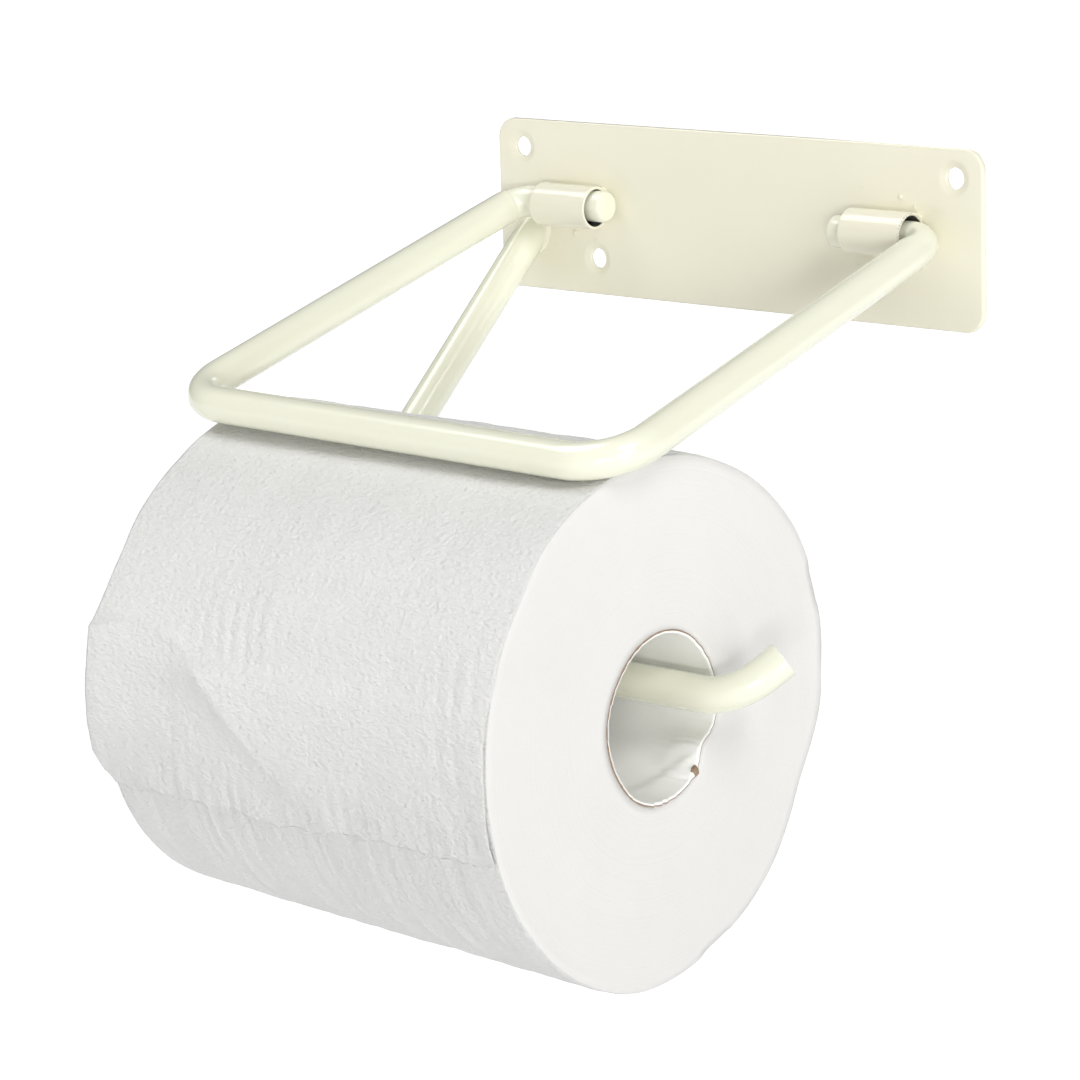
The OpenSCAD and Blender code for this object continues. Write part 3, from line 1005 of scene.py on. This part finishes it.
def sheet_radius(x, phi):
    """The sheet's outside: taut above the fold, standing off the roll in slack folds below it."""
    base = roll_radius(x, phi) + SHEET_GAP
    arc = arc_mm(phi)
    crease = crease_at(x)
    from_crease = arc_mm(phi - crease)
    # how far the sheet stands off at the fold: much at the left end, little on the right
    lift = 0.45 + 2.5 * np.exp(-(np.maximum(x - LEFT, 0) / 15.0) ** 1.5)
    lift = lift + 0.6 * bump_at(x, -20, 12)
    run = np.degrees(np.arccos(ROLL_R / (ROLL_R + lift)))
    t = np.clip((phi - (crease - run)) / run, 0, 1)
    above = lift * t * t
    # from the fold to the free edge: a shallow arch, and a tail that stands off
    below = np.clip((phi - crease) / (SHEET_DOWN - crease), 0, 1)
    tail = 1.0 + 1.7 * smooth_step(50, -30, x) * smooth_step(LEFT, LEFT + 20, x)
    tail = tail * (1 - 0.6 * smooth_step(40, 56, x)) * below ** 1.7
    arch = lift * (1 - 0.35 * below) + 0.35 * lift * np.sin(math.pi * below) ** 1.2 + tail
    stand = np.where(phi < crease, above, arch)
    # the pressed fold itself
    fold = np.where(from_crease < 0, np.exp(from_crease / 0.8), np.exp(-from_crease / 3.2))
    stand = stand + FOLD_HEIGHT * fold * (1 - 0.75 * smooth_step(-22, 10, x))
    # the ridge runs from the fold down and across to the free edge
    off = (x - RIDGE_AT[0]) * RIDGE_ACROSS[0] + (arc - RIDGE_AT[1]) * RIDGE_ACROSS[1]
    ridge = np.where(off < 0, np.exp(-np.abs(off) / 6.0), np.exp(-np.abs(off) / 19.0))
    stand = stand + RIDGE_HEIGHT * ridge * smooth_step(-16, -10, phi) * (1 - 0.95 * below)
    # slack wrinkles above the fold and at the right-hand edge: broad backs, narrow grooves
    slant = x - 0.10 * arc
    group_a = smooth_step(-38, -24, phi) * (1 - smooth_step(-16, -12, phi))
    group_a = bump_at(x, -13, 13) * group_a
    high = smooth_step(-36, -18, phi) * (1 - smooth_step(-14, -11, phi))
    lower = smooth_step(-11, -7, phi) * (1 - smooth_step(-2, 5, phi))
    group_b = bump_at(x, 48, 9) * (high + 0.7 * lower)
    wave_a = np.abs(np.sin((slant + 0.8 * np.sin(arc / 5)) * math.pi / 4.1))
    wave_b = np.abs(np.sin((x - 0.16 * arc) * math.pi / 4.6))
    stand = stand + 0.42 * wave_a ** 0.6 * group_a + 0.36 * wave_b ** 0.7 * group_b
    # crumpling of the slack part
    soft = ripple_noise(arc + 200, x + 100, 6.5, 7.5, 82)
    soft = soft + 0.5 * ripple_noise(arc + 200, x + 100, 3, 3.3, 83)
    stand = stand + 0.16 * (1 + soft) * smooth_step(crease - 1, crease + 3, phi)
    stand = stand + 0.10 * (1 + ripple_noise(arc + 200, x + 100, 9, 5, 84))
    # small lifted edge at the right-hand end
    stand = stand + 0.5 * np.exp(-np.maximum(RIGHT - x, 0) / 3.0) * smooth_step(-40, -10, phi)
    # pressed down by the bail's bar
    pressed = bump_at(phi, SHEET_PRESSED_AT, PRESSED_WIDTH)
    return base + stand * (1 - 0.9 * pressed)


def emboss(x, arc, phi):
    """The sheet's embossing, deeper on the slack part."""
    deep = 0.4 + 0.6 * smooth_step(-18, -11, phi)
    dots = ripple_noise(arc + 300, x + 200, 1.3, 1.3, 85)
    streaks = ripple_noise(arc + 300, x - 0.10 * arc + 200, 9, 1.25, 86)
    return 0.055 * deep * dots + 0.024 * (1 - deep) * streaks


def loose_sheet():
    t = np.linspace(0, 1, SHEET_ROWS)[:, None]
    across = np.linspace(0, 1, SHEET_COLS)[None, :]
    x_here = LEFT + (RIGHT - LEFT) * across
    torn = (0.9 * line_noise(x_here + 100, 11, 91) + 0.55 * line_noise(x_here + 100, 2.2, 92)
            + 0.4 * line_noise(x_here + 100, 0.9, 93))
    end = SHEET_DOWN + torn + 1.6 * bump_at(x_here, -3, 5) - 8.5 * bump_at(x_here, -55.5, 4)
    phi = SHEET_UP + (end - SHEET_UP) * t
    arc = arc_mm(phi)
    # how far the sheet reaches past the roll's ends
    over_left = 0.1 + 0.15 * line_noise(arc + 200, 8, 94) + 0.3 * bump_at(phi, -14, 9)
    over_right = 0.45 + 0.3 * line_noise(arc + 200, 6, 95) + 0.4 * bump_at(phi, -5, 14)
    x = (LEFT - over_left) + (RIGHT + over_right - LEFT + over_left) * across
    r = sheet_radius(np.clip(x, LEFT + 1.5, RIGHT - 1.5), phi) + emboss(x, arc, phi)
    outer, inner = on_roll(x, r, phi), on_roll(x, r - SHEET_T, phi)
    n = SHEET_ROWS * SHEET_COLS
    verts = np.concatenate([outer.reshape(-1, 3), inner.reshape(-1, 3)])
    top = quad_grid(SHEET_ROWS, SHEET_COLS)
    low = top[:, ::-1] + n
    index = np.arange(n).reshape(SHEET_ROWS, SHEET_COLS)
    loop = np.concatenate([index[0], index[1:, -1], index[-1, -2::-1], index[-2:0:-1, 0]])
    after = np.roll(loop, -1)
    rim = np.stack([after, loop, loop + n, after + n], 1)
    quads = outward(verts, np.concatenate([top, low, rim]))
    obj = add_mesh("outer_sheet", verts, quads, [tissue_soft])
    finished(obj, "roll", "tissue_sheet", "loose_sheet")


loose_sheet()


# ---- core --------------------------------------------------------------------------------

CORE_SPOKES = 360
# where the inner ply is folded: angle, and distance from the right end
FOLD = (74, 87, 99, 114.5, 127, 132.6, 138), (9.6, 9.2, 8.7, 6.9, 4.1, 2.4, 1.0)
# the angle of the torn, curled bit on the rim
TEAR = 126.5


def core_tube():
    phi = spokes(CORE_SPOKES)
    x = np.concatenate([RIGHT - np.array([0.25, 0.6, 1.2, 2.2]),
                        np.linspace(RIGHT - 3.5, LEFT + 3, 60),
                        LEFT + np.array([1.2, 0.25])])[None, :]
    outer_r = core_radius(x, phi) - 0.01
    inner_r = outer_r - CORE_WALL
    # the inner ply is folded in towards the right end, dented beside that, and has a winding seam
    into = RIGHT - x
    fold_at = np.interp(phi % 360, FOLD[0], FOLD[1], left=0.01, right=0.01)
    inside_fold = np.clip(into / fold_at, 0, 1)
    fold = np.where(into < fold_at, inside_fold, np.exp(-(into - fold_at) / 0.5))
    fold = 0.75 * fold * smooth_step(70, 86, phi) * (1 - smooth_step(132, 140, phi))
    off = np.hypot((into - 3.5) / 6.4, near_angle(phi, 132) * CORE_R * math.pi / 180 / 4.5)
    dent = 0.40 * (1 - smooth_step(0.90, 1.04, off)) + 0.12 * bump_at(off, 1.22, 0.05)
    line = 0.18 * bump_at(into - 3.6 + 0.56 * near_angle(phi, 165), 0, 0.5)
    line = line * bell_at(phi, 167, 5)
    seam = 0.12 * (np.sin(np.radians(phi) + into * 2 * math.pi / 48) > 0.995)
    curl = 0.8 * bell_at(phi, TEAR, 2.6) * np.exp(-into / 0.8)
    inner_r = inner_r - fold - dent - line - seam - curl
    # torn bits on the rim
    torn = 0.75 * bell_at(phi, TEAR, 3.4) + 0.45 * bell_at(phi, 77, 2)
    torn = torn + 0.35 * bell_at(phi, 66, 1.6)
    ragged = 0.10 + 0.22 * bell_at(phi, 75, 22)
    fray = ragged * line_noise(phi, 3, 96, period=120)
    rim_x = RIGHT + 0.12 + torn + fray
    outer = on_roll(x, outer_r, phi)
    inner = on_roll(x, inner_r, phi)
    r_out, r_in = outer_r[:, :1], inner_r[:, :1]
    rough = 0.5 * torn * np.sin(np.radians(phi) * 40)
    rim = np.stack([on_roll(at, r, phi)[:, 0] for at, r in (
        (rim_x - 0.10, r_in + 0.05), (rim_x, r_in + 0.22 - rough), (rim_x + 0.02, r_out - 0.26),
        (rim_x + 0.04, r_out - 0.14 + rough), (rim_x - 0.02, r_out + 0.02))], 1)
    r_out_l, r_in_l = outer_r[:, -1:], inner_r[:, -1:]
    back = np.stack([on_roll(LEFT - 0.05 - fray, r, phi)[:, 0] for r in
                     (r_out_l - 0.08, (r_out_l + r_in_l) / 2, r_in_l + 0.08)], 1)
    rows = np.concatenate([rim, outer, back, inner[:, ::-1]], 1)
    verts, quads, column = closed_grid(rows)
    cols = rows.shape[1]
    inside = column >= 5 + outer.shape[1] + 2
    light_rim = column < 2
    # brown board shows where the rim is torn
    brown = (np.abs(np.repeat(phi[:, 0], cols) - TEAR) < 3) & (light_rim | (column > cols - 2))
    slots = np.where((inside | light_rim) & ~brown, 1, 0)
    obj = add_mesh("core_tube", verts, quads, [kraft, liner], slots)
    finished(obj, "roll", "core_board", "roll_core")


core_tube()


# ---- camera, floor and light -------------------------------------------------------------

# from here on in metres; the camera's angles are in radians and its lens in mm
CAMERA_AT = (0.5198, -0.6748, 0.1273)
CAMERA_YAW = 0.7120
CAMERA_PITCH = 0.2329
CAMERA_ROLL = -0.0350
CAMERA_LENS = 123.38
SENSOR_WIDTH = 36.0
FLOOR_Z = -0.60
FLOOR_HALF = 12.0
# how far from the origin the floor starts to glow, and where it glows fully
FLOOR_DIM = 0.50
FLOOR_LIT = 1.00
FLOOR_GLOW = 0.54
WORLD_LIGHT = 0.19
# far lights: direction of travel, strength, spread in degrees. The key light travels slightly
# upwards, so the floor stops part of it: the floor's size and this direction set its strength.
DAYLIGHTS = {"key": ((-0.60, 0.78, 0.12), 2.91, 24),
             "key_side": ((-0.90, 0.35, -0.20), 0.75, 24),
             "sky_top": ((0.40, 0.20, -0.90), 1.40, 36),
             "fill_back": ((0.30, -0.94, -0.10), 1.1, 36)}
# near lights: place, size, watts. The two small ones are there for their reflections.
SOFTBOXES = {"window": ((0.75, -0.35, 0.75), (0.30, 0.40), 3.6),
             "glint_front": ((0.224, -1.353, 0.218), (0.07, 0.16), 0.40),
             "glint_right": ((0.99, -0.44, -0.22), (0.08, 0.15), 0.35)}


def camera():
    cy, sy = math.cos(CAMERA_YAW), math.sin(CAMERA_YAW)
    cp, sp = math.cos(CAMERA_PITCH), math.sin(CAMERA_PITCH)
    look = Vector((-sy * cp, cy * cp, -sp))
    level = Vector((cy, sy, 0))
    up = level.cross(look)
    c, s = math.cos(CAMERA_ROLL), math.sin(CAMERA_ROLL)
    right, top = c * level + s * up, -s * level + c * up
    data = bpy.data.cameras.new("camera")
    data.lens, data.sensor_width = CAMERA_LENS, SENSOR_WIDTH
    data.clip_start, data.clip_end = 0.01, 50
    data.dof.use_dof = False
    obj = add_object("camera", data)
    turn = Matrix((right, top, -look)).transposed().to_4x4()
    obj.matrix_world = Matrix.Translation(CAMERA_AT) @ turn
    bpy.context.scene.camera = obj


def shine(name, data, direction):
    obj = add_object(name, data)
    obj.rotation_mode = "QUATERNION"
    obj.rotation_quaternion = Vector(direction).to_track_quat("-Z", "Y")
    return obj


def daylight(name, direction, strength, spread):
    """A very soft far light. direction points away from the light."""
    data = bpy.data.lights.new(name, "SUN")
    data.energy, data.angle = strength, math.radians(spread)
    shine(name, data, direction)


def softbox(name, at, size, watts):
    """A near white light that faces the middle of the object."""
    aim = Vector((cad_box[0] + cad_box[1]) / 2)
    data = bpy.data.lights.new(name, "AREA")
    data.shape, data.size, data.size_y = "RECTANGLE", size[0], size[1]
    data.energy = watts
    shine(name, data, aim - Vector(at)).location = at


def floor():
    """A pale floor, softly darker below the object and lit up to white further out."""
    n = Nodes("floor_paper")
    n.colour(n.mix(n.span(n.noise(3.0, 2.0), 0.3, 0.7), (0.81,) * 3, (0.79,) * 3))
    out = n.vector("LENGTH", n.place())
    reach = n.add("ShaderNodeMapRange", interpolation_type="SMOOTHERSTEP", From_Min=FLOOR_DIM,
                  From_Max=FLOOR_LIT, To_Max=FLOOR_GLOW)
    n.link(out.outputs["Value"], reach.inputs["Value"])
    n.link(reach.outputs["Result"], n.shader.inputs["Emission Strength"])
    n.set(Roughness=0.95, Emission_Color=(1, 1, 1, 1))
    mesh = bpy.data.meshes.new("floor")
    r = FLOOR_HALF
    mesh.from_pydata([(-r, -r, 0), (r, -r, 0), (r, r, 0), (-r, r, 0)], [], [(0, 1, 2, 3)])
    mesh.materials.append(n.material)
    obj = add_object("floor", mesh)
    obj.location = (0, 0, FLOOR_Z)


def world():
    w = bpy.data.worlds.new("studio")
    w.use_nodes = True
    background = w.node_tree.nodes["Background"]
    background.inputs["Color"].default_value = (1, 1, 1, 1)
    background.inputs["Strength"].default_value = WORLD_LIGHT
    bpy.context.scene.world = w


camera()
floor()
world()
for name, light in DAYLIGHTS.items():
    daylight(name, *light)
for name, light in SOFTBOXES.items():
    softbox(name, *light)
bpy.context.scene.view_settings.view_transform = "Standard"
